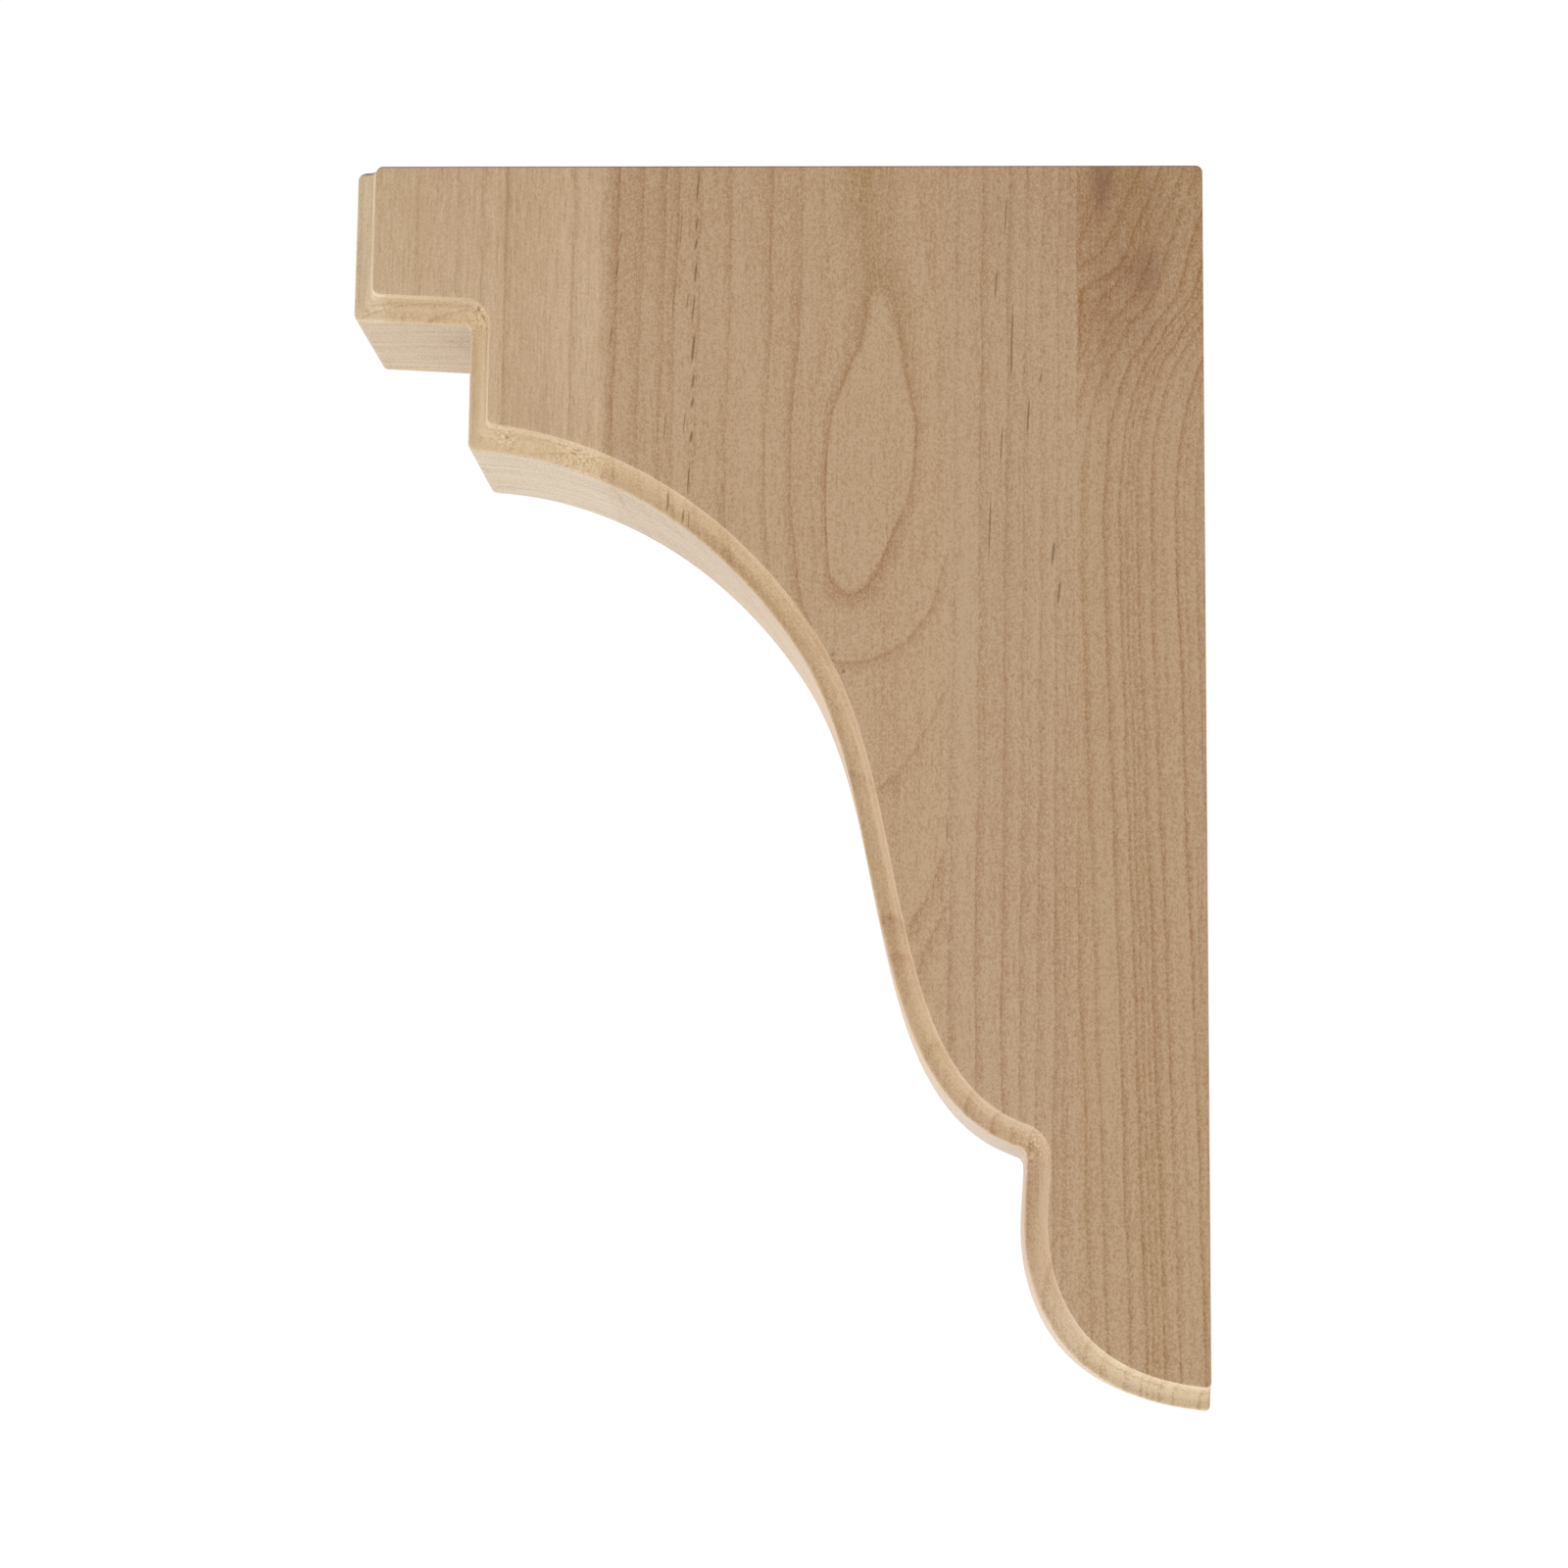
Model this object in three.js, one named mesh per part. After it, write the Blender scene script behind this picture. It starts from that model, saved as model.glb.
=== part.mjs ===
// A wooden corbel bracket, sawn and moulded from one glued-up hardwood blank.
//
// Millimetres, +Z up. The flat back that goes against the wall lies in the plane x = 0 and the
// bracket reaches out towards -X. Its thickness runs along Y, centred on y = 0. The origin is the
// middle of the flat back, half way up.

import * as THREE from 'three';
import { mergeVertices } from 'three/addons/utils/BufferGeometryUtils.js';

// Overall size of the blank.
const height = 355; // down the wall
const reach = 246.5; // out from the wall
const thickness = 66;

// The square lip at the top, which carries the shelf.
const lipHeight = 44.5; // its outer side
const lipOverhang = 34.3; // how far it stands out past the square step below it
const undersideFall = 1.8; // its underside drops this much on the way in to the step
const innerCornerRadius = 1.5; // left by the saw where the underside meets the step

// The square step below the lip.
const stepHeight = 36.9;

// The long hollow and the swelling below it, as one S-shaped cut. A slope is the angle below the
// horizontal, in degrees, going in towards the wall.
const hollowStartSlope = 2.7;
const hollowDeepAcross = 0.8; // where the hollow turns hardest, as a share of its width
const hollowDeepDown = 0.432; // and of its height
const hollowDeepSlope = 56.8;
const waistSlope = 77;
const swellWidth = 37.9; // from the waist in to the heel
const swellHeight = 64.4; // from the waist down to the heel
const heelSlope = 20.8;

// The notch under the heel and the rounded foot.
const notchDepth = 4; // how far the notch is cut in from the heel
const notchRadius = 3;
const footHeight = 71.1;
const footReach = 51.2; // at its fullest
const footLean = 0.8; // how much less it reaches at the notch
const footFullDown = 0.28; // where it is fullest, as a share of its height
const footTurnAcross = 0.8; // a point on its turn, as a share of its reach
const footTurnDown = 0.739; // and of its height
const footTurnSlope = 52.6;
const footEndSlope = 3.5;

// The cove cut along both long edges of the shaped side.
const coveWidth = 6.6; // across the face
const coveDepth = 6.5; // into the thickness

// How finely the curves are cut.
const chordLength = 4; // along the outline
const cornerSteps = 7;
const coveSteps = 8;

const wood = new THREE.MeshStandardMaterial({
  name: 'maple',
  color: 0xc0a47e,
  roughness: 0.62,
  metalness: 0,
});

// The outline is drawn as seen from the front: x is the distance from the wall and y the distance
// below the top. It runs from the lip down to the foot.
const straightDown = new THREE.Vector2(0, 1);

class Station {
  constructor(across, down, slopeDegrees) {
    this.at = new THREE.Vector2(across, down);
    this.slope = THREE.MathUtils.degToRad(slopeDegrees);
    this.heading = new THREE.Vector2(-Math.cos(this.slope), Math.sin(this.slope));
  }
}

function intoWood(direction) {
  return new THREE.Vector2(-direction.y, direction.x).normalize();
}

// A curve between two stations that keeps their slopes and comes close to a circular arc.
function curveBetween(from, to) {
  const chord = from.at.distanceTo(to.at);
  const turn = to.slope - from.slope;
  const pull = chord / (3 * Math.cos(turn / 4) ** 2);
  return new THREE.CubicBezierCurve(
    from.at,
    from.at.clone().addScaledVector(from.heading, pull),
    to.at.clone().addScaledVector(to.heading, -pull),
    to.at,
  );
}

// The points of the curves through a row of stations, after its first station. Each point also
// holds the direction in which it moves when the outline is moved into the wood.
function flow(stations) {
  const points = [];
  for (let i = 1; i < stations.length; i += 1) {
    const curve = curveBetween(stations[i - 1], stations[i]);
    const steps = Math.ceil(curve.getLength() / chordLength);
    for (let step = 1; step <= steps; step += 1) {
      const t = step / steps;
      points.push({ at: curve.getPoint(t), inward: intoWood(curve.getTangent(t)) });
    }
  }
  return points;
}

// A sharp outer corner, which moves so that both its sides keep their distance.
function sharpCorner(at, directionIn, directionOut) {
  const before = intoWood(directionIn);
  const middle = before.clone().add(intoWood(directionOut)).normalize();
  return { at, inward: middle.divideScalar(middle.dot(before)) };
}

// An inner corner between two straight lines, rounded.
function roundCorner(at, directionIn, directionOut, radius) {
  const before = intoWood(directionIn);
  const after = intoWood(directionOut);
  const middle = before.clone().add(after).normalize();
  const centre = at.clone().addScaledVector(middle, -radius / middle.dot(before));
  const start = before.angle();
  let turn = after.angle() - start;
  turn -= 2 * Math.PI * Math.round(turn / (2 * Math.PI));
  const points = [];
  for (let step = 0; step <= cornerSteps; step += 1) {
    const angle = start + (turn * step) / cornerSteps;
    const inward = new THREE.Vector2(Math.cos(angle), Math.sin(angle));
    points.push({ at: centre.clone().addScaledVector(inward, radius), inward });
  }
  return points;
}

function lipAndInnerCorner(stepReach) {
  const lipCorner = new THREE.Vector2(reach, lipHeight);
  const innerCorner = new THREE.Vector2(stepReach, lipHeight + undersideFall);
  const underside = innerCorner.clone().sub(lipCorner);
  return [
    { at: new THREE.Vector2(reach, 0), inward: intoWood(straightDown) },
    sharpCorner(lipCorner, straightDown, underside),
    ...roundCorner(innerCorner, underside, straightDown, innerCornerRadius),
  ];
}

function hollowAndSwell(stepReach, heel) {
  const stepDown = lipHeight + undersideFall + stepHeight;
  const start = new Station(stepReach, stepDown, hollowStartSlope);
  const waist = new Station(heel.at.x + swellWidth, heel.at.y - swellHeight, waistSlope);
  const deep = new Station(
    THREE.MathUtils.lerp(start.at.x, waist.at.x, hollowDeepAcross),
    THREE.MathUtils.lerp(start.at.y, waist.at.y, hollowDeepDown),
    hollowDeepSlope,
  );
  const corner = sharpCorner(start.at, straightDown, start.heading);
  // A point nearer to the corner than this would cross its mitre when the outline moves in.
  const clear = ({ at }) => at.distanceTo(start.at) > coveWidth;
  return [corner, ...flow([start, deep, waist, heel]).filter(clear)];
}

function notchAndFoot(notchCorner, heel) {
  const notch = roundCorner(notchCorner, heel.heading, straightDown, notchRadius);
  const end = new Station(0, height, footEndSlope);
  const foot = flow([
    new Station(notchCorner.x, notch.at(-1).at.y, 90),
    new Station(footReach, notchCorner.y + footHeight * footFullDown, 90),
    new Station(
      footReach * footTurnAcross,
      notchCorner.y + footHeight * footTurnDown,
      footTurnSlope,
    ),
    end,
  ]);
  // The last point stays in the plane of the wall.
  foot.at(-1).inward = new THREE.Vector2(0, -1 / Math.cos(end.slope));
  return [...notch, ...foot];
}

function shapedSide() {
  const stepReach = reach - lipOverhang;
  const notchCorner = new THREE.Vector2(footReach - footLean, height - footHeight);
  const heelRise = notchDepth * Math.tan(THREE.MathUtils.degToRad(heelSlope));
  const heel = new Station(notchCorner.x + notchDepth, notchCorner.y - heelRise, heelSlope);
  return [
    ...lipAndInnerCorner(stepReach),
    ...hollowAndSwell(stepReach, heel),
    ...notchAndFoot(notchCorner, heel),
  ];
}

// The shaped side moved into the wood, closed by the corner between the wall and the top.
function ring(side, inset) {
  const points = side.map(({ at, inward }) => at.clone().addScaledVector(inward, inset));
  return [...points, new THREE.Vector2(0, 0)];
}

// How far each ring is inset and where it lies along Y, from the front face to the back face.
function ringPlaces() {
  const front = [];
  for (let step = 0; step <= coveSteps; step += 1) {
    const angle = (step / coveSteps) * (Math.PI / 2);
    front.push({
      inset: coveWidth * Math.cos(angle),
      y: -thickness / 2 + coveDepth * Math.sin(angle),
    });
  }
  const back = front.map(({ inset, y }) => ({ inset, y: -y })).reverse();
  return [...front, ...back];
}

function bracketGeometry() {
  const side = shapedSide();
  const places = ringPlaces();
  const rings = places.map(({ inset }) => ring(side, inset));
  const count = rings[0].length;
  const positions = [];
  rings.forEach((points, i) => {
    for (const point of points) {
      positions.push(-point.x, places[i].y, height / 2 - point.y);
    }
  });

  const faces = [];
  for (let i = 0; i + 1 < rings.length; i += 1) {
    for (let j = 0; j < count; j += 1) {
      const a = i * count + j;
      const b = i * count + ((j + 1) % count);
      faces.push(a, a + count, b, b, a + count, b + count);
    }
  }
  const lastRing = (rings.length - 1) * count;
  for (const [a, b, c] of THREE.ShapeUtils.triangulateShape(rings[0], [])) {
    faces.push(a, b, c);
    faces.push(lastRing + a, lastRing + c, lastRing + b);
  }

  const geometry = new THREE.BufferGeometry();
  geometry.setAttribute('position', new THREE.Float32BufferAttribute(positions, 3));
  geometry.setIndex(faces);
  return mergeVertices(geometry, 1e-5);
}

const bracket = new THREE.Mesh(bracketGeometry(), wood);
bracket.name = 'corbel_bracket';

const part = new THREE.Group();
part.add(bracket);

export default part;
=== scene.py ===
import math
from types import SimpleNamespace
import bmesh
import bpy
from mathutils import Matrix, Vector


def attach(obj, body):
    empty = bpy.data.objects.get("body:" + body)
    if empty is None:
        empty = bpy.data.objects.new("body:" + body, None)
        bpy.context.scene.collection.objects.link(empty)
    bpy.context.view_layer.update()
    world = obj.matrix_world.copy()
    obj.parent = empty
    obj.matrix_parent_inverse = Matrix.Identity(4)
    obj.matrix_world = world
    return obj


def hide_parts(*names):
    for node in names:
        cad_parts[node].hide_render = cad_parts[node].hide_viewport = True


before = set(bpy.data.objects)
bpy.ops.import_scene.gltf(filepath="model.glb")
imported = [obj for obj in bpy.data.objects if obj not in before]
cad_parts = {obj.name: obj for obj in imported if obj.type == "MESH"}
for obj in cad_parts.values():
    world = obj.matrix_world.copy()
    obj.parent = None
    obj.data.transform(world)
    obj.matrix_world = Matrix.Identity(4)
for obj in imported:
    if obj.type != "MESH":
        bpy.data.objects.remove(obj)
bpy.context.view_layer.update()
scene = bpy.context.scene
print("frame loaded")


# One output of a node, so that the maths of a node tree reads as plain expressions.
class Signal:
    def __init__(self, tree, socket=None):
        self.tree = tree
        self.socket = socket

    # kind is the node's type, settings are its own values, and sockets are its inputs, by name
    # or number, as values or Signals. What comes back is the output with that name or number.
    def node(self, kind, settings=None, sockets=None, output=0):
        made = self.tree.nodes.new(kind)
        for name, value in (settings or {}).items():
            if name == "points":
                setPoints(made.mapping, value, "VECTOR")
            elif name == "roundedPoints":
                setPoints(made.mapping, value, "AUTO_CLAMPED")
            else:
                setattr(made, name, value)
        for name, value in (sockets or {}).items():
            socket = findSocket(made.inputs, name)
            if isinstance(value, Signal):
                self.tree.links.new(value.socket, socket)
            else:
                socket.default_value = value
        return Signal(self.tree, findSocket(made.outputs, output) if made.outputs else None)

    def maths(self, operation, *values):
        return self.node("ShaderNodeMath", {"operation": operation}, dict(enumerate(values)))

    def __add__(self, other):
        return self.maths("ADD", self, other)

    def __sub__(self, other):
        return self.maths("SUBTRACT", self, other)

    def __rsub__(self, other):
        return self.maths("SUBTRACT", other, self)

    def __mul__(self, other):
        return self.maths("MULTIPLY", self, other)

    def __truediv__(self, other):
        return self.maths("DIVIDE", self, other)

    def __rtruediv__(self, other):
        return self.maths("DIVIDE", other, self)

    def __abs__(self):
        return self.maths("ABSOLUTE", self)

    __radd__ = __add__
    __rmul__ = __mul__

    def floor(self):
        return self.maths("FLOOR", self)

    def root(self):
        return self.maths("SQRT", self)

    def above(self, low):
        return self.maths("MAXIMUM", self, low)

    def below(self, high):
        return self.maths("MINIMUM", self, high)

    # 0 at the first value and 1 at the second, with a soft start and end
    def step(self, first, second):
        ends = (0.0, 1.0) if first < second else (1.0, 0.0)
        sockets = {"Value": self, "From Min": min(first, second), "From Max": max(first, second)}
        sockets.update({"To Min": ends[0], "To Max": ends[1]})
        return self.node("ShaderNodeMapRange", {"interpolation_type": "SMOOTHSTEP"}, sockets)

    # three numbers from one vector
    def parts(self):
        split = self.node("ShaderNodeSeparateXYZ", sockets={0: self})
        outputs = split.socket.node.outputs
        return [Signal(self.tree, outputs[axis]) for axis in "XYZ"]

    def vector(self, x, y, z):
        return self.node("ShaderNodeCombineXYZ", sockets={0: x, 1: y, 2: z})

    # a vector or colour, each part of it multiplied by its own factor
    def times(self, factors):
        return self.node("ShaderNodeVectorMath", {"operation": "MULTIPLY"}, {0: self, 1: factors})

    # how far this place is from another one, as seen from the front
    def awayFrom(self, across, height):
        sockets = {0: self.times((1, 0, 1)), 1: (across, 0, height)}
        return self.node("ShaderNodeVectorMath", {"operation": "DISTANCE"}, sockets, "Value")

    # smooth noise around 0 at this place
    def noise(self, detail):
        sockets = {"Vector": self, "Scale": 1, "Detail": detail}
        return self.node("ShaderNodeTexNoise", {}, sockets) - 0.5

    # the colour that lies this share of the way between two others
    def blend(self, first, second):
        sockets = {"Factor": self, "A": first, "B": second}
        return self.node("ShaderNodeMix", {"data_type": "RGBA"}, sockets, "Result")

    # the height, at this value, of a curve through points
    def along(self, points, rounded=False):
        places, heights = zip(*points)
        low, size = min(heights), max(heights) - min(heights)
        length = places[-1] - places[0]
        shares = [((at - places[0]) / length, (height - low) / size) for at, height in points]
        share = ((self - places[0]) / length).above(0).below(1)
        settings = {"roundedPoints" if rounded else "points": shares}
        return low + size * self.node("ShaderNodeFloatCurve", settings, {"Value": share})


def findSocket(sockets, name):
    if isinstance(name, int):
        return sockets[name]
    return next(socket for socket in sockets if socket.enabled and socket.name == name)


def setPoints(mapping, points, handles):
    curve = mapping.curves[0]
    mapping.use_clip = False
    curve.points[0].location = points[0]
    curve.points[1].location = points[-1]
    for point in points[1:-1]:
        curve.points.new(*point)
    for point in curve.points:
        point.handle_type = handles
    mapping.update()


# A colour as it is seen on a screen, 0 to 255, in the linear values that nodes use.
def shade(red, green, blue):
    def channel(value):
        share = value / 255
        return share / 12.92 if share <= 0.04045 else ((share + 0.055) / 1.055) ** 2.4

    return (channel(red), channel(green), channel(blue), 1.0)


cameraSettings = {
    "place": (-0.0714, -1.0009, -0.1571),
    "turn": 1.772,  # degrees to the left
    "tilt": 8.976,  # degrees up
    "roll": 0.509,  # degrees
    "sensor": 36.0,
    "lens": 79.83,
    "shift": -0.04,
    "nearest": 0.01,  # metres
}


def makeCamera(settings):
    data = bpy.data.cameras.new("photoCamera")
    data.lens = settings["lens"]
    data.sensor_width = settings["sensor"]
    data.shift_x = settings["shift"]
    data.clip_start = settings["nearest"]
    camera = bpy.data.objects.new("photoCamera", data)
    turned = Matrix.Rotation(math.radians(settings["turn"]), 4, "Z")
    tilted = Matrix.Rotation(math.radians(90 + settings["tilt"]), 4, "X")
    rolled = Matrix.Rotation(math.radians(settings["roll"]), 4, "Z")
    camera.matrix_world = Matrix.Translation(settings["place"]) @ turned @ tilted @ rolled
    scene.collection.objects.link(camera)
    scene.camera = camera


makeCamera(cameraSettings)
print("camera placed")


roomSettings = {
    "floorHeight": -0.36,
    "floorSize": 9.0,
    "floorColour": (0.86, 0.86, 0.86, 1.0),
    "floorRoughness": 0.9,
    "floorGlow": 0.72,  # keeps the floor as pale as the backdrop
    "front": 0.52,  # brightness of the room behind the camera
    "behind": 1.02,  # of the backdrop
    "above": -0.22,  # what the dark ceiling takes away
    "left": 0.85,  # what the wide window on the left adds
}


# The numbers in each step are parts of a direction: 1 is straight to that side, and 0 is across it.
def makeRoom(settings):
    scene.view_settings.view_transform = "Standard"
    world = bpy.data.worlds.new("studio")
    scene.world = world
    world.use_nodes = True
    tree = world.node_tree
    tree.nodes.clear()
    start = Signal(tree)
    x, y, z = start.node("ShaderNodeTexCoord", output="Generated").parts()
    front, behind = settings["front"], settings["behind"]
    light = front + (behind - front) * y.step(-0.1, 0.55)
    sides = settings["left"] * x.step(-0.2, -0.95) + settings["above"] * z.step(0.35, 0.95)
    strength = light + sides * (1 - y.step(0.5, 0.85))
    sockets = {"Color": (1, 1, 1, 1), "Strength": strength}
    background = start.node("ShaderNodeBackground", sockets=sockets)
    start.node("ShaderNodeOutputWorld", sockets={"Surface": background})


def makeFloor(settings):
    half = settings["floorSize"] / 2
    height = settings["floorHeight"]
    corners = [(-half, -half), (half, -half), (half, half), (-half, half)]
    mesh = bpy.data.meshes.new("paleFloor")
    mesh.from_pydata([(x, y + half / 2, height) for x, y in corners], [], [(0, 1, 2, 3)])
    floor = bpy.data.objects.new("paleFloor", mesh)
    scene.collection.objects.link(floor)
    paper = bpy.data.materials.new("palePaper")
    paper.use_nodes = True
    surface = paper.node_tree.nodes["Principled BSDF"]
    surface.inputs["Base Color"].default_value = settings["floorColour"]
    surface.inputs["Roughness"].default_value = settings["floorRoughness"]
    surface.inputs["Emission Color"].default_value = (1, 1, 1, 1)
    surface.inputs["Emission Strength"].default_value = settings["floorGlow"]
    mesh.materials.append(paper)


makeRoom(roomSettings)
makeFloor(roomSettings)
print("room made")


# The bracket's outline, in millimetres as seen from the front: across is the distance from the
# wall and down the distance below the top. Slopes are degrees below the horizontal.
outlineSizes = {
    "height": 355.0,
    "reach": 246.5,
    "lipHeight": 44.5,
    "lipOverhang": 34.3,
    "undersideFall": 1.8,
    "innerCornerRadius": 1.5,
    "stepHeight": 36.9,
    "hollowStartSlope": 2.7,
    "hollowDeepAcross": 0.8,
    "hollowDeepDown": 0.432,
    "hollowDeepSlope": 56.8,
    "waistSlope": 77.0,
    "swellWidth": 37.9,
    "swellHeight": 64.4,
    "heelSlope": 20.8,
    "notchDepth": 4.0,
    "notchRadius": 3.0,
    "footHeight": 71.1,
    "footReach": 51.2,
    "footLean": 0.8,
    "footFullDown": 0.28,
    "footTurnAcross": 0.8,
    "footTurnDown": 0.739,
    "footTurnSlope": 52.6,
    "footEndSlope": 3.5,
    "cornerEase": 2.0,  # radius that sanding left on the corners of the outline
    "tipEase": 1.3,  # and on the tip at the wall
    "pointSpacing": 1.3,  # along the curves
    "stepClearance": 1.8,  # how near the hollow's points come to the corner of the step
    "tipClearance": 6.0,  # and the foot's points to the wall
    "easeSteps": 5,
    "filletSteps": 9,
}

# The section from the front face over the cove to the side, in millimetres.
sectionSizes = {
    "thickness": 66.0,
    "coveWidth": 6.4,
    "coveDepth": 6.5,
    "innerEase": 0.1,  # radius where the cove meets the face
    "outerEase": 1.0,  # and where it meets the side
    "plainEase": 0.55,  # radius along the top and the wall side
    "flatMargin": 1.2,  # from the eased edges in to the first ring on the flat face
    "easeSteps": 5,
    "coveSteps": 14,
    "sideRings": (1.0, 3.0, 9.0, 18.0),  # beyond the outer corner, in depth
    "sanding": 0.12,  # how far the sander wandered into the shaped side
    "sandingLength": 26.0,
}

down = Vector((0, 1))


class Station:
    def __init__(self, across, downward, slopeDegrees):
        self.at = Vector((across, downward))
        self.slope = math.radians(slopeDegrees)
        self.heading = Vector((-math.cos(self.slope), math.sin(self.slope)))


# One point of the outline: where it is, how it moves as the cove is cut in, how it moves as a
# plain edge is eased, and how much of the cove it has.
def outlinePoint(at, coveMove, plainMove=(0, 0), coveShare=1.0):
    return {"at": at, "cove": coveMove, "plain": Vector(plainMove), "share": coveShare}


def intoWood(heading):
    return Vector((-heading.y, heading.x)).normalized()


def mitre(before, after):
    middle = (before + after).normalized()
    return middle / middle.dot(before)


# The points of a smooth curve between two stations, after the first of them.
def curveBetween(start, end, spacing):
    chord = (end.at - start.at).length
    pull = chord / (3 * math.cos((end.slope - start.slope) / 4) ** 2)
    handles = [start.at, start.at + pull * start.heading, end.at - pull * end.heading, end.at]
    steps = math.ceil(chord / spacing)
    points = []
    for step in range(1, steps + 1):
        t = step / steps
        u = 1 - t
        weights = (u ** 3, 3 * u * u * t, 3 * u * t * t, t ** 3)
        at = sum((weight * handle for weight, handle in zip(weights, handles)), Vector((0, 0)))
        legs = [handles[i + 1] - handles[i] for i in range(3)]
        heading = u * u * legs[0] + 2 * u * t * legs[1] + t * t * legs[2]
        points.append(outlinePoint(at, intoWood(heading)))
    return points


def flow(stations, spacing):
    points = []
    for start, end in zip(stations, stations[1:]):
        points += curveBetween(start, end, spacing)
    return points


# An outer corner, eased by a small radius, whose points all move along the mitre.
def easedCorner(at, headingIn, headingOut, radius, steps, moves=None):
    before, after = intoWood(headingIn), intoWood(headingOut)
    centre = at + mitre(before, after) * radius
    turn = before.angle_signed(after)
    coveMove, plainMove, shares = moves or (mitre(before, after), (0, 0), (1.0, 1.0))
    points = []
    for step in range(steps + 1):
        share = step / steps
        inward = Matrix.Rotation(-turn * share, 2) @ before
        coveShare = shares[0] + (shares[1] - shares[0]) * share
        points.append(outlinePoint(centre - inward * radius, coveMove, plainMove, coveShare))
    return points


# Near an eased corner the points of a curve also move along it, as the corner does.
def leanFrom(corner, points, reach=24):
    for point in points:
        nearness = 1 - (point["at"] - corner["at"]).length / reach
        if nearness > 0:
            tangent = Vector((point["cove"].y, -point["cove"].x))
            point["cove"] = point["cove"] + tangent * (tangent.dot(corner["cove"]) * nearness)
    return points


# An inner corner between two straight lines, whose radius grows as the cove is cut in.
def innerCorner(at, headingIn, headingOut, radius, steps):
    before, after = intoWood(headingIn), intoWood(headingOut)
    centre = at - mitre(before, after) * radius
    turn = before.angle_signed(after)
    points = []
    for step in range(steps + 1):
        inward = Matrix.Rotation(-turn * step / steps, 2) @ before
        points.append(outlinePoint(centre + inward * radius, inward))
    return points


# A straight run between two groups of points. It has a point near each end, so that the eased
# corners don't shade it, and its moves turn from those of the one corner to those of the other.
def joinStraight(before, after, margin=1.2, parts=6):
    start, end = before[-1], after[0]
    length = (end["at"] - start["at"]).length
    shares = [margin / length, *(part / parts for part in range(1, parts)), 1 - margin / length]
    run = []
    for share in shares:
        moved = min(max((share * length - margin) / (length - 2 * margin), 0), 1)
        at = start["at"].lerp(end["at"], share)
        coveMove = start["cove"].lerp(end["cove"], moved)
        plainMove = start["plain"].lerp(end["plain"], moved)
        run.append(outlinePoint(at, coveMove, plainMove, start["share"]))
    return before + run + after


def makeOutline(sizes):
    spacing, easeSteps, ease = sizes["pointSpacing"], sizes["easeSteps"], sizes["cornerEase"]
    filletSteps = sizes["filletSteps"]
    reach, height = sizes["reach"], sizes["height"]
    stepReach = reach - sizes["lipOverhang"]
    lipCorner = Vector((reach, sizes["lipHeight"]))
    inner = Vector((stepReach, sizes["lipHeight"] + sizes["undersideFall"]))
    underside = (inner - lipCorner).normalized()
    hollow = Station(stepReach, inner.y + sizes["stepHeight"], sizes["hollowStartSlope"])
    notch = Vector((sizes["footReach"] - sizes["footLean"], height - sizes["footHeight"]))
    heelRise = sizes["notchDepth"] * math.tan(math.radians(sizes["heelSlope"]))
    heel = Station(notch.x + sizes["notchDepth"], notch.y - heelRise, sizes["heelSlope"])
    waistAt = heel.at + Vector((sizes["swellWidth"], -sizes["swellHeight"]))
    waist = Station(*waistAt, sizes["waistSlope"])
    width, depth = waist.at - hollow.at
    inHollow = Vector((width * sizes["hollowDeepAcross"], depth * sizes["hollowDeepDown"]))
    deep = Station(*(hollow.at + inHollow), sizes["hollowDeepSlope"])
    footFull = notch.y + sizes["footHeight"] * sizes["footFullDown"]
    footTurn = notch.y + sizes["footHeight"] * sizes["footTurnDown"]
    footTurnAcross = sizes["footReach"] * sizes["footTurnAcross"]
    tip = Station(0, height, sizes["footEndSlope"])
    outOfWall, intoWall, up = Vector((1, 0)), Vector((-1, 0)), -down

    lipTop = easedCorner(
        Vector((reach, 0)), outOfWall, down, ease, easeSteps, (intoWall, down, (0.0, 1.0))
    )
    lipBottom = easedCorner(lipCorner, down, underside, ease, easeSteps)
    innerPoints = innerCorner(inner, underside, down, sizes["innerCornerRadius"], filletSteps)
    stepBottom = easedCorner(hollow.at, down, hollow.heading, ease, easeSteps)
    curve = leanFrom(stepBottom[-1], flow([hollow, deep, waist, heel], spacing))
    curveEnd = stepReach - sizes["stepClearance"]
    curve = [point for point in curve if point["at"].x < curveEnd]
    notchPoints = innerCorner(notch, heel.heading, down, sizes["notchRadius"], filletSteps)
    footStations = [
        Station(*notchPoints[-1]["at"], 90),
        Station(sizes["footReach"], footFull, 90),
        Station(footTurnAcross, footTurn, sizes["footTurnSlope"]),
        tip,
    ]
    foot = flow(footStations, spacing)
    foot = [point for point in foot if point["at"].x > sizes["tipClearance"]]
    upWall = up / math.cos(tip.slope)
    tipPoints = easedCorner(
        tip.at, tip.heading, up, sizes["tipEase"], easeSteps, (upWall, outOfWall, (1.0, 0.0))
    )
    wallMitre = mitre(outOfWall, down)
    wallTop = easedCorner(
        Vector((0, 0)), up, outOfWall, ease, easeSteps, (Vector((0, 0)), wallMitre, (0.0, 0.0))
    )
    points = joinStraight(lipTop, lipBottom)
    points = joinStraight(points, innerPoints)
    points = joinStraight(points, stepBottom)
    points += curve + notchPoints + foot
    points = joinStraight(points, tipPoints, margin=0.8, parts=2)
    points = joinStraight(points, wallTop)
    return joinStraight(points, lipTop)[: -len(lipTop)]


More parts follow.
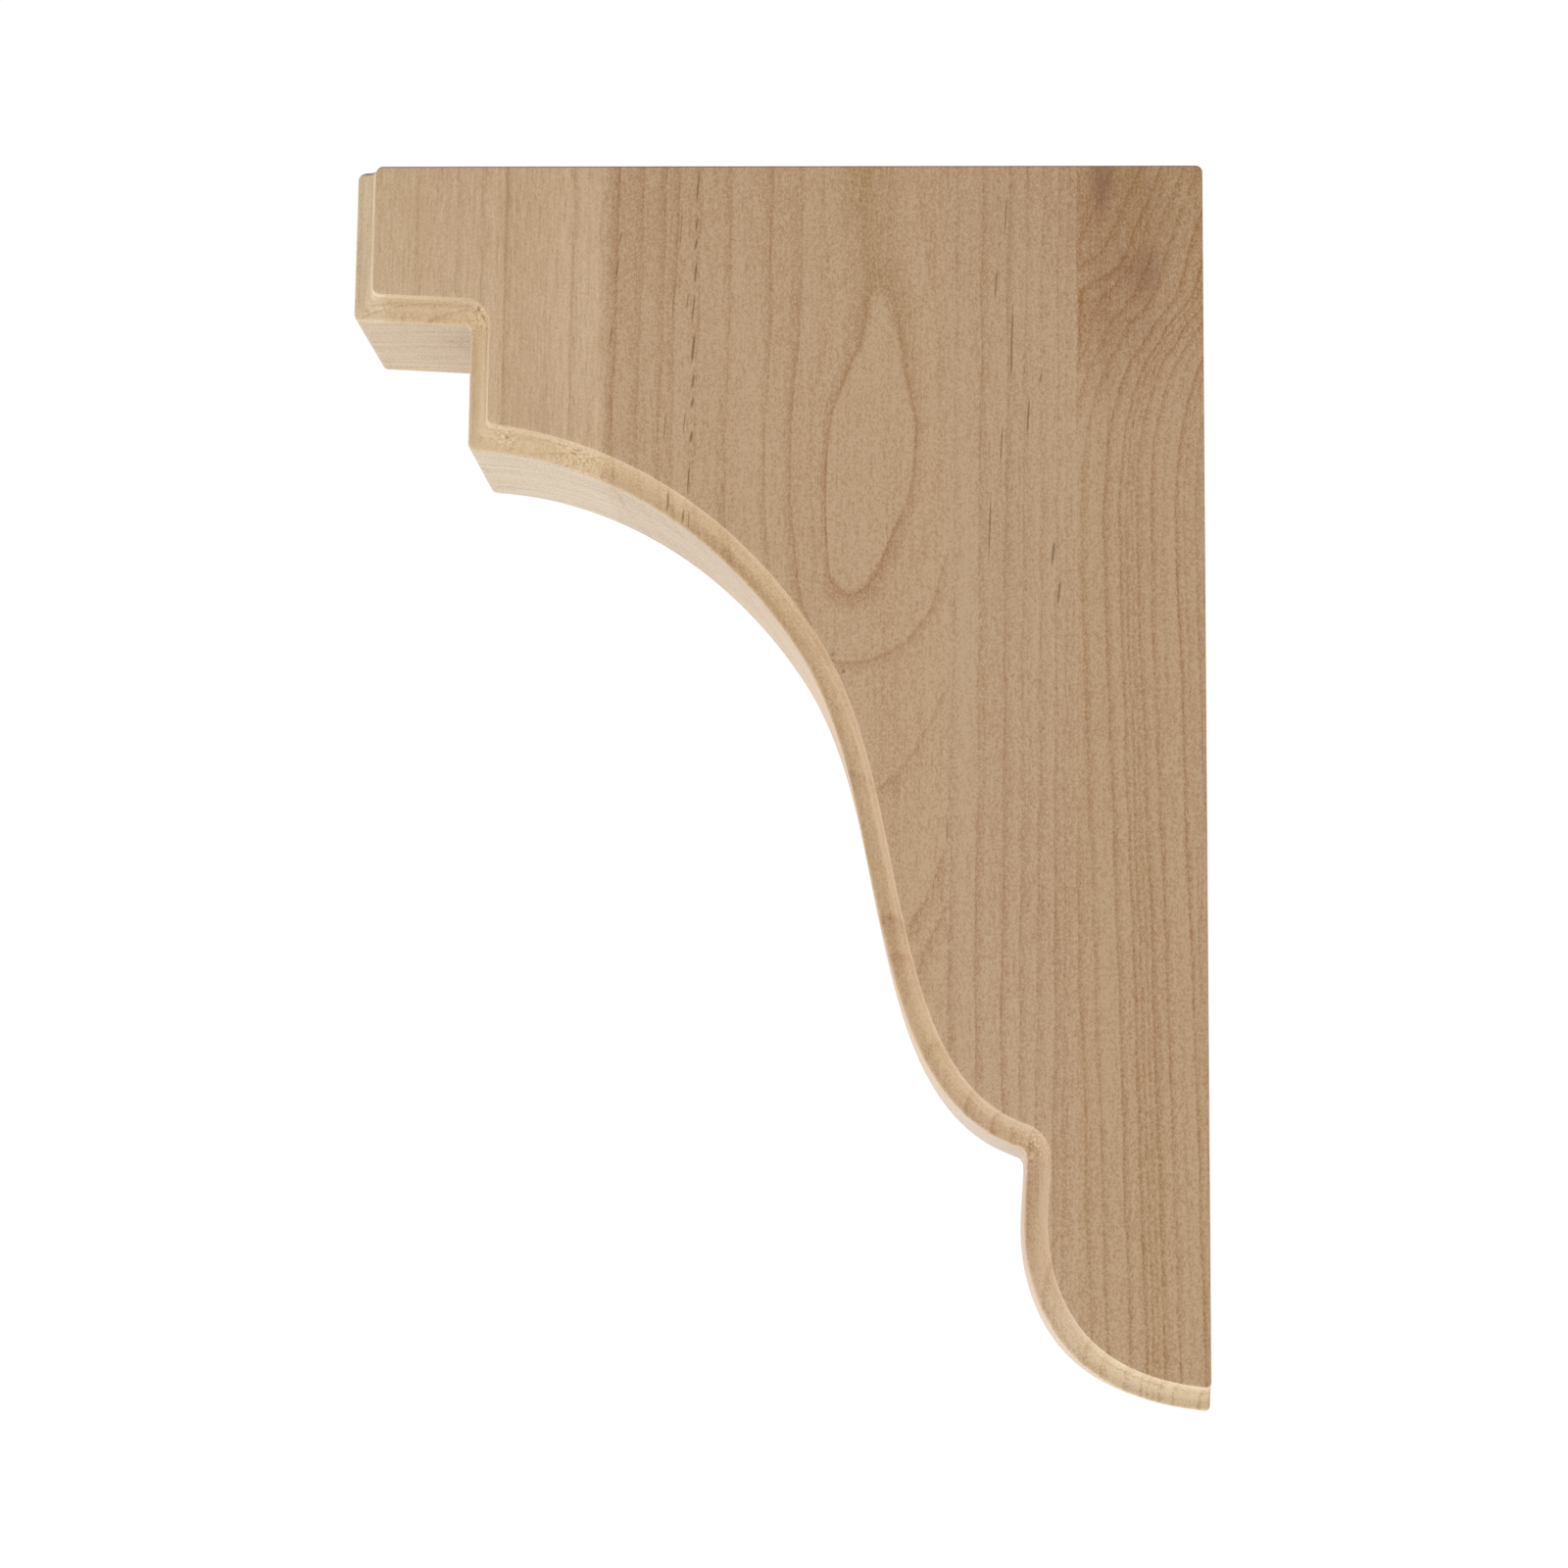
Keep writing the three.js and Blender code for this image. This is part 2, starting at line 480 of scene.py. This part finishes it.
# The rings from one face to the other: the cove's inset and depth, the plain edge's inset and
# depth, and the face that the depths are measured from.
def makeSection(sizes):
    radius = (sizes["coveWidth"] + sizes["coveDepth"]) / 2
    stretch = (sizes["coveWidth"] / radius, sizes["coveDepth"] / radius)
    inner, outer, plainEase = sizes["innerEase"], sizes["outerEase"], sizes["plainEase"]
    steps = sizes["easeSteps"]
    innerCentre = Vector((math.sqrt((radius + inner) ** 2 - inner ** 2), inner))
    outerCentre = Vector((outer, math.sqrt((radius + outer) ** 2 - outer ** 2)))
    innerAngle = math.atan2(innerCentre.y, innerCentre.x)
    outerAngle = math.atan2(outerCentre.y, outerCentre.x)

    def around(centre, size, angle):
        return centre + size * Vector((math.cos(angle), math.sin(angle)))

    margin = sizes["flatMargin"]
    rings = [(innerCentre.x + margin, 0, plainEase + margin, 0)]
    for step in range(steps + 1):
        share = step / steps
        cove = around(innerCentre, inner, -math.pi / 2 - share * (math.pi / 2 - innerAngle))
        plain = around(Vector((plainEase, plainEase)), plainEase, -math.pi / 2 * (1 + share))
        rings.append((*cove, *plain))
    for step in range(1, sizes["coveSteps"]):
        share = step / sizes["coveSteps"]
        cove = around(Vector((0, 0)), radius, innerAngle + (outerAngle - innerAngle) * share)
        rings.append((*cove, 0, cove.y))
    for step in range(steps + 1):
        cove = around(outerCentre, outer, outerAngle - math.pi - outerAngle * step / steps)
        rings.append((*cove, 0, cove.y))
    for extra in sizes["sideRings"]:
        rings.append((0, outerCentre.y + extra, 0, outerCentre.y + extra))
    half = [
        {"cove": (a * stretch[0], b * stretch[1], 0), "plain": (c, d, 0)}
        for a, b, c, d in rings
    ]
    front = [dict(ring, face=-1.0) for ring in half]
    back = [dict(ring, face=1.0) for ring in reversed(half)]
    return front + back


# A row of loose points that carries named values for a node tree to read.
def makePoints(name, places, values):
    mesh = bpy.data.meshes.new(name)
    mesh.from_pydata(places, [], [])
    for key, (kind, field, numbers) in values.items():
        layer = mesh.attributes.new(key, kind, "POINT")
        layer.data.foreach_set(field, [part for number in numbers for part in number])
    holder = bpy.data.objects.new(name, mesh)
    scene.collection.objects.link(holder)
    return holder


def outlineHolder(points):
    return makePoints(
        "outlinePoints",
        [(point["at"].x, point["at"].y, 0) for point in points],
        {
            "coveMove": ("FLOAT_VECTOR", "vector", [(*point["cove"], 0) for point in points]),
            "plainMove": ("FLOAT_VECTOR", "vector", [(*point["plain"], 0) for point in points]),
            "coveShare": ("FLOAT", "value", [(point["share"],) for point in points]),
        },
    )


def sectionHolder(rings):
    return makePoints(
        "sectionPoints",
        [(0, 0, 0)] * len(rings),
        {
            "cove": ("FLOAT_VECTOR", "vector", [ring["cove"] for ring in rings]),
            "plain": ("FLOAT_VECTOR", "vector", [ring["plain"] for ring in rings]),
            "face": ("FLOAT", "value", [(ring["face"],) for ring in rings]),
        },
    )


# The tree that runs the section round the outline. Its inputs are the section, the sizes and the
# wood, and its result is the bracket's skin, open at the two flat faces.
def makeMouldingTree():
    tree = bpy.data.node_groups.new("mouldedBlank", "GeometryNodeTree")
    kinds = {
        "Outline": "NodeSocketGeometry",
        "Section": "NodeSocketObject",
        "Height": "NodeSocketFloat",
        "Thickness": "NodeSocketFloat",
        "Sanding": "NodeSocketFloat",
        "Sanding Length": "NodeSocketFloat",
        "Wood": "NodeSocketMaterial",
    }
    for name, kind in kinds.items():
        tree.interface.new_socket(name, in_out="INPUT", socket_type=kind)
    tree.interface.new_socket("Skin", in_out="OUTPUT", socket_type="NodeSocketGeometry")
    start = Signal(tree)
    inputs = start.node("NodeGroupInput").socket.node.outputs
    outline, section, height, thickness, sanding, sandingLength, wood = (
        Signal(tree, inputs[name]) for name in kinds
    )
    profile = start.node("GeometryNodeObjectInfo", {}, {"Object": section}, "Geometry")

    def count(geometry):
        return start.node("GeometryNodeAttributeDomainSize", {}, {0: geometry})

    def sample(geometry, value, kind, index):
        sockets = {"Geometry": geometry, "Value": value, "Index": index}
        return start.node("GeometryNodeSampleIndex", {"data_type": kind}, sockets)

    def named(name, kind):
        return start.node("GeometryNodeInputNamedAttribute", {"data_type": kind}, {"Name": name})

    around, across = count(outline), count(profile)
    columns = around + 1
    gridSockets = {"Vertices X": across, "Vertices Y": columns}
    grid = start.node("GeometryNodeMeshGrid", {}, gridSockets)
    index = start.node("GeometryNodeInputIndex")
    ring = ((index + 0.5) / columns).floor()
    column = index - ring * columns
    place = column.maths("MODULO", column, around)

    at = sample(outline, start.node("GeometryNodeInputPosition"), "FLOAT_VECTOR", place)
    coveMove = sample(outline, named("coveMove", "FLOAT_VECTOR"), "FLOAT_VECTOR", place)
    plainMove = sample(outline, named("plainMove", "FLOAT_VECTOR"), "FLOAT_VECTOR", place)
    coveShare = sample(outline, named("coveShare", "FLOAT"), "FLOAT", place)
    cove = sample(profile, named("cove", "FLOAT_VECTOR"), "FLOAT_VECTOR", ring).parts()
    plain = sample(profile, named("plain", "FLOAT_VECTOR"), "FLOAT_VECTOR", ring).parts()
    face = sample(profile, named("face", "FLOAT"), "FLOAT", ring)

    depth = plain[1] + (cove[1] - plain[1]) * coveShare
    fromMiddle = face * (thickness / 2 - depth)
    atAcross, atDown, _ = at.parts()
    spot = start.vector(atAcross, atDown, fromMiddle * 0.5)
    wander = start.node("ShaderNodeTexNoise", {}, {"Vector": spot, "Scale": 1 / sandingLength})
    coveInset = cove[0] + sanding * wander
    coveX, coveY, _ = coveMove.parts()
    plainX, plainY, _ = plainMove.parts()
    across = atAcross + coveX * coveInset + plainX * plain[0]
    downward = atDown + coveY * coveInset + plainY * plain[0]
    metre = 0.001  # in one millimetre
    upward = height / 2 - downward
    position = start.vector(across * -metre, fromMiddle * metre, upward * metre)

    geometry = start.node("GeometryNodeSetPosition", {}, {"Geometry": grid, "Position": position})
    sockets = {"Geometry": geometry, "Distance": 1e-6}
    geometry = start.node("GeometryNodeMergeByDistance", {}, sockets)
    geometry = start.node("GeometryNodeSetShadeSmooth", {}, {"Geometry": geometry})
    geometry = start.node("GeometryNodeRealizeInstances", {}, {"Geometry": geometry})
    sockets = {"Geometry": geometry, "Material": wood}
    geometry = start.node("GeometryNodeSetMaterial", {}, sockets)
    start.node("NodeGroupOutput", {}, {"Skin": geometry})
    return tree


def setTreeInputs(modifier, values):
    for item in modifier.node_group.interface.items_tree:
        if item.in_out == "INPUT" and item.name in values:
            modifier[item.identifier] = values[item.name]


# The skin as a plain mesh, with its two flat faces closed.
def makeBracket(sizes, section, wood):
    outline = outlineHolder(makeOutline(sizes))
    profile = sectionHolder(makeSection(section))
    modifier = outline.modifiers.new("moulding", "NODES")
    modifier.node_group = makeMouldingTree()
    values = {
        "Section": profile,
        "Height": sizes["height"],
        "Thickness": section["thickness"],
        "Sanding": section["sanding"],
        "Sanding Length": section["sandingLength"],
        "Wood": wood,
    }
    setTreeInputs(modifier, values)
    bpy.context.view_layer.update()
    evaluated = outline.evaluated_get(bpy.context.evaluated_depsgraph_get())
    mesh = bpy.data.meshes.new_from_object(evaluated)
    outline.modifiers.clear()
    for holder in (outline, profile):
        bpy.data.objects.remove(holder)

    skin = bmesh.new()
    skin.from_mesh(mesh)
    openEdges = [edge for edge in skin.edges if edge.is_boundary]
    faces = bmesh.ops.holes_fill(skin, edges=openEdges, sides=0)["faces"]
    bmesh.ops.recalc_face_normals(skin, faces=skin.faces)
    for face in skin.faces:
        face.smooth = True
    bmesh.ops.triangulate(skin, faces=faces)
    skin.to_mesh(mesh)
    skin.free()
    mesh.name = "bracketWood"
    bracket = bpy.data.objects.new("moulded_bracket", mesh)
    scene.collection.objects.link(bracket)
    return bracket


# The wood. The blank was glued up from four strips, which are called rift, oval, third and wall on
# the way from the lip to the wall. Places across are millimetres from the wall, which is at 0, and
# heights are measured from the middle. Each growth line is a place and a strength.
woodSettings = {
    "joints": ((-173.0, 1.6), (-73.0, 0.3), (-36.4, 0.3)),  # the place and half width of each
    "stripColours": ((209, 181, 147), (194, 164, 130), (193, 163, 131), (189, 159, 125)),
    # Tints for the down-facing faces of each strip: partly the paler end grain, partly a painted
    # whitish sheen and light from the floor below, stronger towards the wall.
    "endGrainAndSheenTints": (
        (0.92, 0.95, 0.96), (1.0, 1.05, 1.08), (1.06, 1.13, 1.2), (1.18, 1.27, 1.33),
    ),
    "redBrown": (151, 105, 60),  # the colour of the growth lines, which changes slowly
    "yellowBrown": (149, 108, 56),
    "knotColour": (118, 76, 54),
    "fuzzColour": (240, 218, 180),  # of torn fibres
    "fleckColour": (98, 62, 28),
    # painted shade on the eased top edge, which faces the dim light above
    "upperRimShadeColour": (104, 92, 80),
    # Tints that paint light and shade into the wood's colour.
    "tints": {
        # painted whitish sheen and shade on the flat undersides, and painted shade on the lip's
        # underside
        "underside": (0.85, 0.91, 0.98),
        "lip": (0.94, 0.9, 0.82),  # its underside, darkened as painted shade
        # a painted highlight along the inner edge of each cove, and painted shade over its outer
        # part
        "coveInnerHighlight": (1.05, 1.12, 1.15),
        "coveOuterShade": (0.95, 0.96, 0.92),
        "pale": (1.1, 1.2, 1.33),  # painted light on the cove beside the lip, lit from the left, and on the cove under the foot, lit from the floor
    },
    "lightness": 1.05,
    "roughness": 0.5,
    "sheen": 0.12,
    "sheenRoughness": 0.5,
    "bumpStrength": 0.35,
    "bumpHeight": 0.00012,
    "grain": {  # how fine each is across, through and along the wood, and its detail
        "drift": (0.03, 0.03, 0.01, 0.0),
        "waver": (0.22, 0.1, 0.04, 1.0),
        "broad": (0.07, 0.07, 0.006, 1.0),
        "streak": (0.5, 0.5, 0.012, 1.0),
        "thread": (1.0, 1.0, 0.008, 2.0),
        "fibre": (1.3, 1.3, 0.1, 2.0),
        "tick": (2.9, 2.9, 0.2, 1.0),
        "mottle": (2.2, 2.2, 1.5, 1.5),
        "pore": (2.2, 2.2, 2.2, 1.0),
        "tear": (1.3, 1.3, 1.3, 2.0),
    },
    "browning": {  # how much each adds to the brown
        "lines": 0.5,
        "broad": 0.25,
        "streak": 0.14,
        "thread": 0.16,
        "fibre": 0.34,
        "tick": 0.14,
        "mottle": 0.5,
        "pore": 0.3,
        "tear": 1.6,
        "cutStreak": 0.7,
        "layers": 0.7,
        "everywhere": 0.1,
    },
    "figureStrength": 1.45,  # multiplies all of them
    # For each strip: how far its lines fade out, how much they waver, and how far they move for
    # each millimetre of depth.
    "rift": {
        "lines": ((-227.8, 0.25), (-215.5, 0.28), (-208.4, 0.33), (-201.5, 0.4), (-182.1, 0.35)),
        "soft": 2.4,
        "waver": 1.2,
        "turn": 6.5,
        "ringStrength": 0.2,
    },
    "oval": {
        "lines": ((11.4, 0.7), (23.0, 0.5)),
        "outerLines": ((41.9, 0.36), (57.6, 0.5), (61.0, 0.4), (67.2, 0.4), (74.5, 0.6)),
        "upperLines": ((16.9, 0.2), (30.6, 0.5), (50.8, 0.3)),  # these fade out lower down
        "soft": 3.0,
        "outerSoft": 2.6,
        "waver": 1.6,
        "turn": 0.5,
        "farMiddle": -95.5,  # the middle that the lines far from it go round
        "middle": (  # height and place across
            (-180, -101.5), (49.2, -101.4), (53.9, -101.3), (60.6, -100.5), (70, -99.2),
            (79.6, -97.8), (89.1, -96.9), (98.7, -96.2), (106.4, -95.7), (114.1, -94.8),
            (120, -94), (127.6, -93.3), (137.3, -93.5), (143.1, -94.6), (177, -99.5),
        ),
        "coreDepth": (  # height and how far the core lies in front of the face
            (-180, 62), (-60, 57), (-35, 51.4), (-17.5, 47), (-6, 41), (6, 36), (23.6, 28),
            (31, 22.8), (40, 17.3), (49.2, 11.9), (53.9, 10.5), (60.6, 9), (70, 6.8), (79.6, 4),
            (89.1, 1.9), (98.7, 2.8), (106.4, 5.8), (114.1, 8), (120, 9.2), (127.6, 10.1),
            (137.3, 10.6), (143.1, 11.1), (180, 11.1),
        ),
    },
    "third": {
        "lines": (
            (-71.8, 0.35), (-64.3, 0.55), (-56.9, 0.6), (-51.8, 0.45), (-47.0, 0.4),
            (-42.3, 0.45), (-39.8, 0.25),
        ),
        "soft": 2.6,
        "waver": 1.8,
        "turn": 0.35,
        "lean": 0.006,
    },
    "wall": {
        "lines": (
            (-60.0, 0.3), (-52.0, 0.4), (-45.8, 0.55), (-43.3, 0.35), (-39.4, 0.45),
            (-35.0, 0.5), (-28.6, 0.65), (-24.3, 0.65), (-22.5, 0.5), (-20.9, 0.35),
            (-19.2, 0.6), (-15.3, 0.6), (-12.0, 0.25), (-8.1, 0.75), (-5.8, 0.3), (-2.6, 0.45),
        ),
        "soft": 1.9,
        "waver": 1.4,
        "turn": 0.3,
        "bend": (  # height and how far the lines lie nearer to the wall
            (-180, 7.2), (-131, 5.9), (-37, 3.1), (35, 0.8), (75, 0), (80.8, 0.2), (94.6, 1.1),
            (104.9, 3.1), (112.2, 5.1), (119.1, 7.9), (123.2, 10.7), (130.5, 15), (134.6, 18.6),
            (140.4, 21.7), (147.4, 23.7), (158, 26.5), (170, 31.3), (180, 35),
        ),
        "bulge": (-38.0, 140.0, 13.0, 10.488),  # across, height, half width and half height
        "bulgeLift": 11.0,
    },
    "smudges": (  # round the knot: across, height, half width, half height and strength
        (-28.9, 172.0, 4.0, 10.0, 0.42),
        (-17.5, 146.0, 7.0, 7.0, 0.28),
        (-22.0, 152.0, 16.0, 40.0, 0.13),
    ),
    "fleckChains": (  # across, top, bottom and half width of each fleck
        (
            (-146.0, 177.3, 165.5, 0.4), (-146.2, 163.0, 156.8, 0.42),
            (-146.3, 156.4, 151.6, 0.44), (-146.4, 149.2, 141.4, 0.46),
            (-146.9, 140.4, 129.0, 0.34), (-146.6, 128.4, 117.0, 0.5),
            (-146.5, 116.0, 110.0, 0.42), (-146.7, 108.5, 105.0, 0.48),
            (-147.0, 99.0, 94.0, 0.48), (-147.3, 90.0, 78.6, 0.34), (-147.5, 77.0, 70.0, 0.28),
        ),
        (
            (-56.9, 171.3, 153.6, 0.3), (-59.7, 147.7, 136, 0.36),
            (-57.9, 101.2, 86.8, 0.34), (-61.2, 82.4, 58.1, 0.36),
        ),
        (
            (-55.0, 138.9, 111.3, 0.4), (-50.3, 109.9, 95.4, 0.36),
            (-149.2, 77.4, 71.7, 0.4), (-43.1, 66.7, 58.2, 0.5), (-41.4, 55.9, 46.8, 0.42),
        ),
        (
            (-150.8, 168, 150, 0.24), (-152.6, 147, 128, 0.24), (-46.7, 116.2, 112.2, 0.34),
            (-154.5, 105.4, 94, 0.26), (-153.7, 82.3, 75.1, 0.45), (-73, -14, -21, 0.3),
        ),
        (
            (-168.4, 158.4, 153.6, 0.3), (-169.0, 150.7, 143.0, 0.32),
            (-148.6, 140.2, 133.4, 0.28), (-170.6, 130.5, 121.8, 0.32),
            (-148.9, 105.0, 96.7, 0.28),
        ),
    ),
    "fleckLean": 0.8,
    "specks": ((-209.5, 135.5), (-200.6, 97.6), (-105.6, 33.0), (-102.5, 28.2)),
    "tears": (  # in the cove: across, height and reach
        (-208.8, 132.5, 9), (-179.6, 90.5, 15), (-201, 97, 6), (-48.5, -106, 10),
    ),
}


# Growth lines as the points of a curve: each is dark and sharp on the side away from the wall,
# and fades out softly on the other.
def lineCurve(lines, soft):
    points = [(lines[0][0] - 3, 0)]
    for number, (place, strength) in enumerate(lines):
        following = lines[number + 1][0] - 0.75 if number + 1 < len(lines) else place + soft + 1
        points += [(place - 0.7, 0), (place - 0.1, strength), (place + 0.4, strength * 0.55)]
        points.append((min(place + soft, following - 0.05), 0))
    return points + [(lines[-1][0] + soft + 3, 0)]


def fleckCurves(flecks, lean):
    widths, places = [], []
    for across, top, bottom, halfWidth in sorted(flecks, key=lambda fleck: fleck[2]):
        slope = (top - bottom) * 0.3
        widths += [(bottom, 0), (bottom + slope, halfWidth), (top - slope, halfWidth), (top, 0)]
        places += [(bottom, across - lean / 2), (top, across + lean / 2)]
    return widths, places


def lerp(first, second, share):
    return first + (second - first) * share


# What the pattern is worked out from: where a spot of the wood is, in millimetres, how far it
# faces up, and the grain there.
def readSpot(tree, grain, thickness):
    start = Signal(tree)
    place = start.node("ShaderNodeTexCoord", output="Object").times((1000, 1000, 1000))
    x, y, z = place.parts()
    _, _, facing = start.node("ShaderNodeTexCoord", output="Normal").parts()
    spot = SimpleNamespace(place=place, x=x, y=y, z=z, facing=facing)
    spot.depth = y + thickness / 2
    spot.cut = thickness / 2 - abs(y)  # how deep under the nearer face
    for name, (across, through, along, detail) in grain.items():
        setattr(spot, name, place.times((across, through, along)).noise(detail))
    return spot


# How strong the growth lines of a strip are, where at is the place across that they are bent to.
def stripLines(spot, strip, at):
    moved = at + spot.waver * strip["waver"] + spot.depth * strip["turn"]
    return moved.along(lineCurve(strip["lines"], strip["soft"]))


def riftLines(spot, strip):
    across = spot.x + spot.depth * strip["turn"] + spot.drift * 40
    rings = across.vector(across * 0.09, spot.z * 0.004, 0.0).noise(2.0).step(0, 0.22)
    return stripLines(spot, strip, spot.x) + rings * strip["ringStrength"]


# The lines are where the face cuts through rings round a core, which nears it and leaves it.
def ovalLines(spot, strip):
    x, z = spot.x, spot.z
    middle = lerp(z.along(strip["middle"], True), strip["farMiddle"], x.step(-106, -113))
    aside = x - middle + spot.waver * strip["waver"]
    aside = aside / (1 + aside.step(-1.5, 1.5) * (z.step(20, 38) * 0.35 - 0.1))
    ahead = z.along(strip["coreDepth"], True) + spot.depth * strip["turn"]
    oval = (aside * aside + ahead * ahead).root() + spot.drift * 2
    inner = oval.along(lineCurve(strip["lines"], strip["soft"])) * (1 - 0.5 * z.step(130, 152))
    outer = oval.along(lineCurve(strip["outerLines"], strip["outerSoft"]))
    upper = oval.along(lineCurve(strip["upperLines"], strip["outerSoft"])) * z.step(50, 64)
    return inner + outer + upper


def thirdLines(spot, strip):
    lines = stripLines(spot, strip, spot.x - spot.z * strip["lean"])
    return lines * (0.75 + 0.35 * spot.z.step(10, -60))


# 0 in the middle of a round patch, and 1 at its half width and half height
def patchDistance(spot, across, height, halfWidth, halfHeight):
    a, b = (spot.x - across) / halfWidth, (spot.z - height) / halfHeight
    return a * a + b * b


# The lines bulge away from the wall below the knot.
def wallLines(spot, strip):
    bulge = spot.x.maths("EXPONENT", 0 - patchDistance(spot, *strip["bulge"]))
    at = spot.x - spot.z.along(strip["bend"], True) + strip["bulgeLift"] * bulge
    return stripLines(spot, strip, at)


def smudgeShare(spot, smudges):
    share = 0
    for *patch, strength in smudges:
        faded = (patchDistance(spot, *patch) + spot.waver * 1.6).step(1.6, -0.4)
        share = share + strength * faded
    return share * spot.x.step(-37, -31)


def fleckShare(spot, chains, lean, specks):
    share = 0
    for chain in chains:
        widths, places = fleckCurves(chain, lean)
        apart = abs(spot.x - spot.z.along(places) + spot.waver * 0.8)
        share = share + ((spot.z.along(widths) - apart) * 4).above(0)
    share = share.below(1) * spot.depth.step(16, 9)
    for across, height in specks:
        share = share + 0.8 * spot.place.awayFrom(across, height).step(0.8, 0.3)
    return share


# above 0 where torn fibres stand up, and below 0 where they are missing
def tearShare(spot, tears, inCove):
    near = 0
    for across, height, reach in tears:
        near = near + spot.place.awayFrom(across, height).step(reach, 0)
    return spot.tear * near * inCove


def makeWood(settings, thickness):
    wood = bpy.data.materials.new("sandedMaple")
    wood.use_nodes = True
    tree = wood.node_tree
    tree.nodes.clear()
    start = Signal(tree)
    spot = readSpot(tree, settings["grain"], thickness)
    x, y, z, cut, facing = spot.x, spot.y, spot.z, spot.cut, spot.facing

    endGrain = abs(facing).step(0.45, 0.9)
    under = facing.step(-0.3, -0.9)
    inside = cut.step(7, 8)  # between the two coves
    inCove = cut.step(0.05, 0.4) * cut.step(8, 7) * x.step(-0.2, -0.7) * z.step(177.3, 176.8)
    edges = [x.step(at - soft, at + soft) for at, soft in settings["joints"]]
    inRift = 1 - edges[0]

    lines = riftLines(spot, settings["rift"])
    colours = [shade(*colour) for colour in settings["stripColours"]]
    tints = [(*tint, 1) for tint in settings["endGrainAndSheenTints"]]
    others = (
        ovalLines(spot, settings["oval"]),
        thirdLines(spot, settings["third"]),
        wallLines(spot, settings["wall"]),
    )
    colour, endGrainAndSheenTint = colours[0], tints[0]
    for edge, strip, stripColour, stripEndGrainAndSheenTint in zip(edges, others, colours[1:], tints[1:]):
        lines = lerp(lines, strip, edge)
        colour = edge.blend(colour, stripColour)
        endGrainAndSheenTint = edge.blend(endGrainAndSheenTint, stripEndGrainAndSheenTint)

    ticks = spot.tick.step(0.08, 0.24)
    pores = spot.pore.step(0.08, 0.28) * endGrain
    cutStreak = start.vector(cut * 0.8, x * 0.012, z * 0.016).noise(1.0)
    layers = start.vector(x * 0.03 + z * 0.03, y * 0.4 + x * 0.06, 0.0).noise(2.0)
    smudge = smudgeShare(spot, settings["smudges"])
    flecks = fleckShare(
        spot, settings["fleckChains"], settings["fleckLean"], settings["specks"]
    )
    torn = tearShare(spot, settings["tears"], inCove)
    # Browner towards the top: painted shade that grows towards the top edge, and in the wall strip
    # a darkening upwards towards the knot.
    topShadeAndKnotTone = z.step(120, 176) * 0.07 + edges[2] * z.step(96, 135) * (0.1 + 0.1 * x.step(-6, -20))

    add = settings["browning"]
    brown = lines * add["lines"] * (1 - 0.4 * under) + spot.fibre * add["fibre"] + topShadeAndKnotTone
    brown = brown + spot.streak * (add["streak"] - 0.08 * inRift)
    brown = brown + spot.thread * inRift * add["thread"]
    mottled = add["mottle"] + 0.52 * edges[0] + 0.2 * edges[2] + inside * under
    brown = brown + spot.mottle * mottled
    brown = brown + ticks * add["tick"] * (1 - endGrain)
    brown = brown + spot.broad * (add["broad"] - 0.1 * inRift)
    brown = brown + cutStreak * inCove * add["cutStreak"] + pores * add["pore"]
    brown = brown + add["everywhere"] + (0 - torn).above(0) * add["tear"]
    brown = (brown + layers * inside * under * add["layers"]) * settings["figureStrength"]

    lineColour = spot.drift.step(-0.18, 0.18).blend(
        shade(*settings["redBrown"]), shade(*settings["yellowBrown"])
    )
    colour = brown.above(0).below(1).blend(colour, lineColour)
    colour = smudge.blend(colour, shade(*settings["knotColour"]))
    colour = (torn * 2.4).above(0).below(0.5).blend(colour, shade(*settings["fuzzColour"]))
    colour = (flecks * 0.6).below(1).blend(colour, shade(*settings["fleckColour"]))
    colour = colour.times([settings["lightness"]] * 3)
    # Down-facing faces take the strip's end-grain tint, which also paints in whitish sheen and
    # light from below.
    colour = under.blend(colour, colour.times(endGrainAndSheenTint))
    # Where each tint paints light and shade: sheen and shade on the undersides and under the lip, a
    # highlight along the coves' inner edges, shade in their outer parts, and light on the cove
    # beside the lip and under the foot.
    paintedLightShares = {
        "underside": under * inside,
        "lip": under * inside * x.step(-208, -214) * z.step(110, 120),
        "coveInnerHighlight": inCove * cut.step(2.8, 1.2),
        "coveOuterShade": inCove * cut.step(2.5, 5),
        "pale": inCove * (x.step(-235.5, -239) + z.step(-130, -165)),
    }
    for name, share in paintedLightShares.items():
        colour = share.blend(colour, colour.times(settings["tints"][name]))
    # The eased top edge is painted dark grey as shade, since little light comes from above.
    upperRimShade = z.step(176.3, 177.1) * facing.step(0.1, 0.4) * facing.step(0.99, 0.93)
    colour = (upperRimShade * 0.85).blend(colour, shade(*settings["upperRimShadeColour"]))

    height = spot.fibre * 0.5 + spot.mottle * 0.6 - ticks * 0.5 - pores * 0.8 - flecks * 0.8
    bumpSockets = {
        "Strength": settings["bumpStrength"],
        "Distance": settings["bumpHeight"],
        "Height": height - torn * 3,
    }
    sockets = {
        "Base Color": colour,
        "Roughness": settings["roughness"] + spot.fibre * 0.16 + pores * 0.1 + flecks * 0.1,
        "Normal": start.node("ShaderNodeBump", {}, bumpSockets),
        "Sheen Weight": settings["sheen"],
        "Sheen Roughness": settings["sheenRoughness"],
    }
    surface = start.node("ShaderNodeBsdfPrincipled", {}, sockets)
    start.node("ShaderNodeOutputMaterial", {}, {"Surface": surface})
    return wood


bracketWood = makeWood(woodSettings, sectionSizes["thickness"])
print("wood made")
bracket = makeBracket(outlineSizes, sectionSizes, bracketWood)
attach(bracket, "root")
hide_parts("corbel_bracket")
print("bracket made:", len(bracket.data.polygons), "faces")
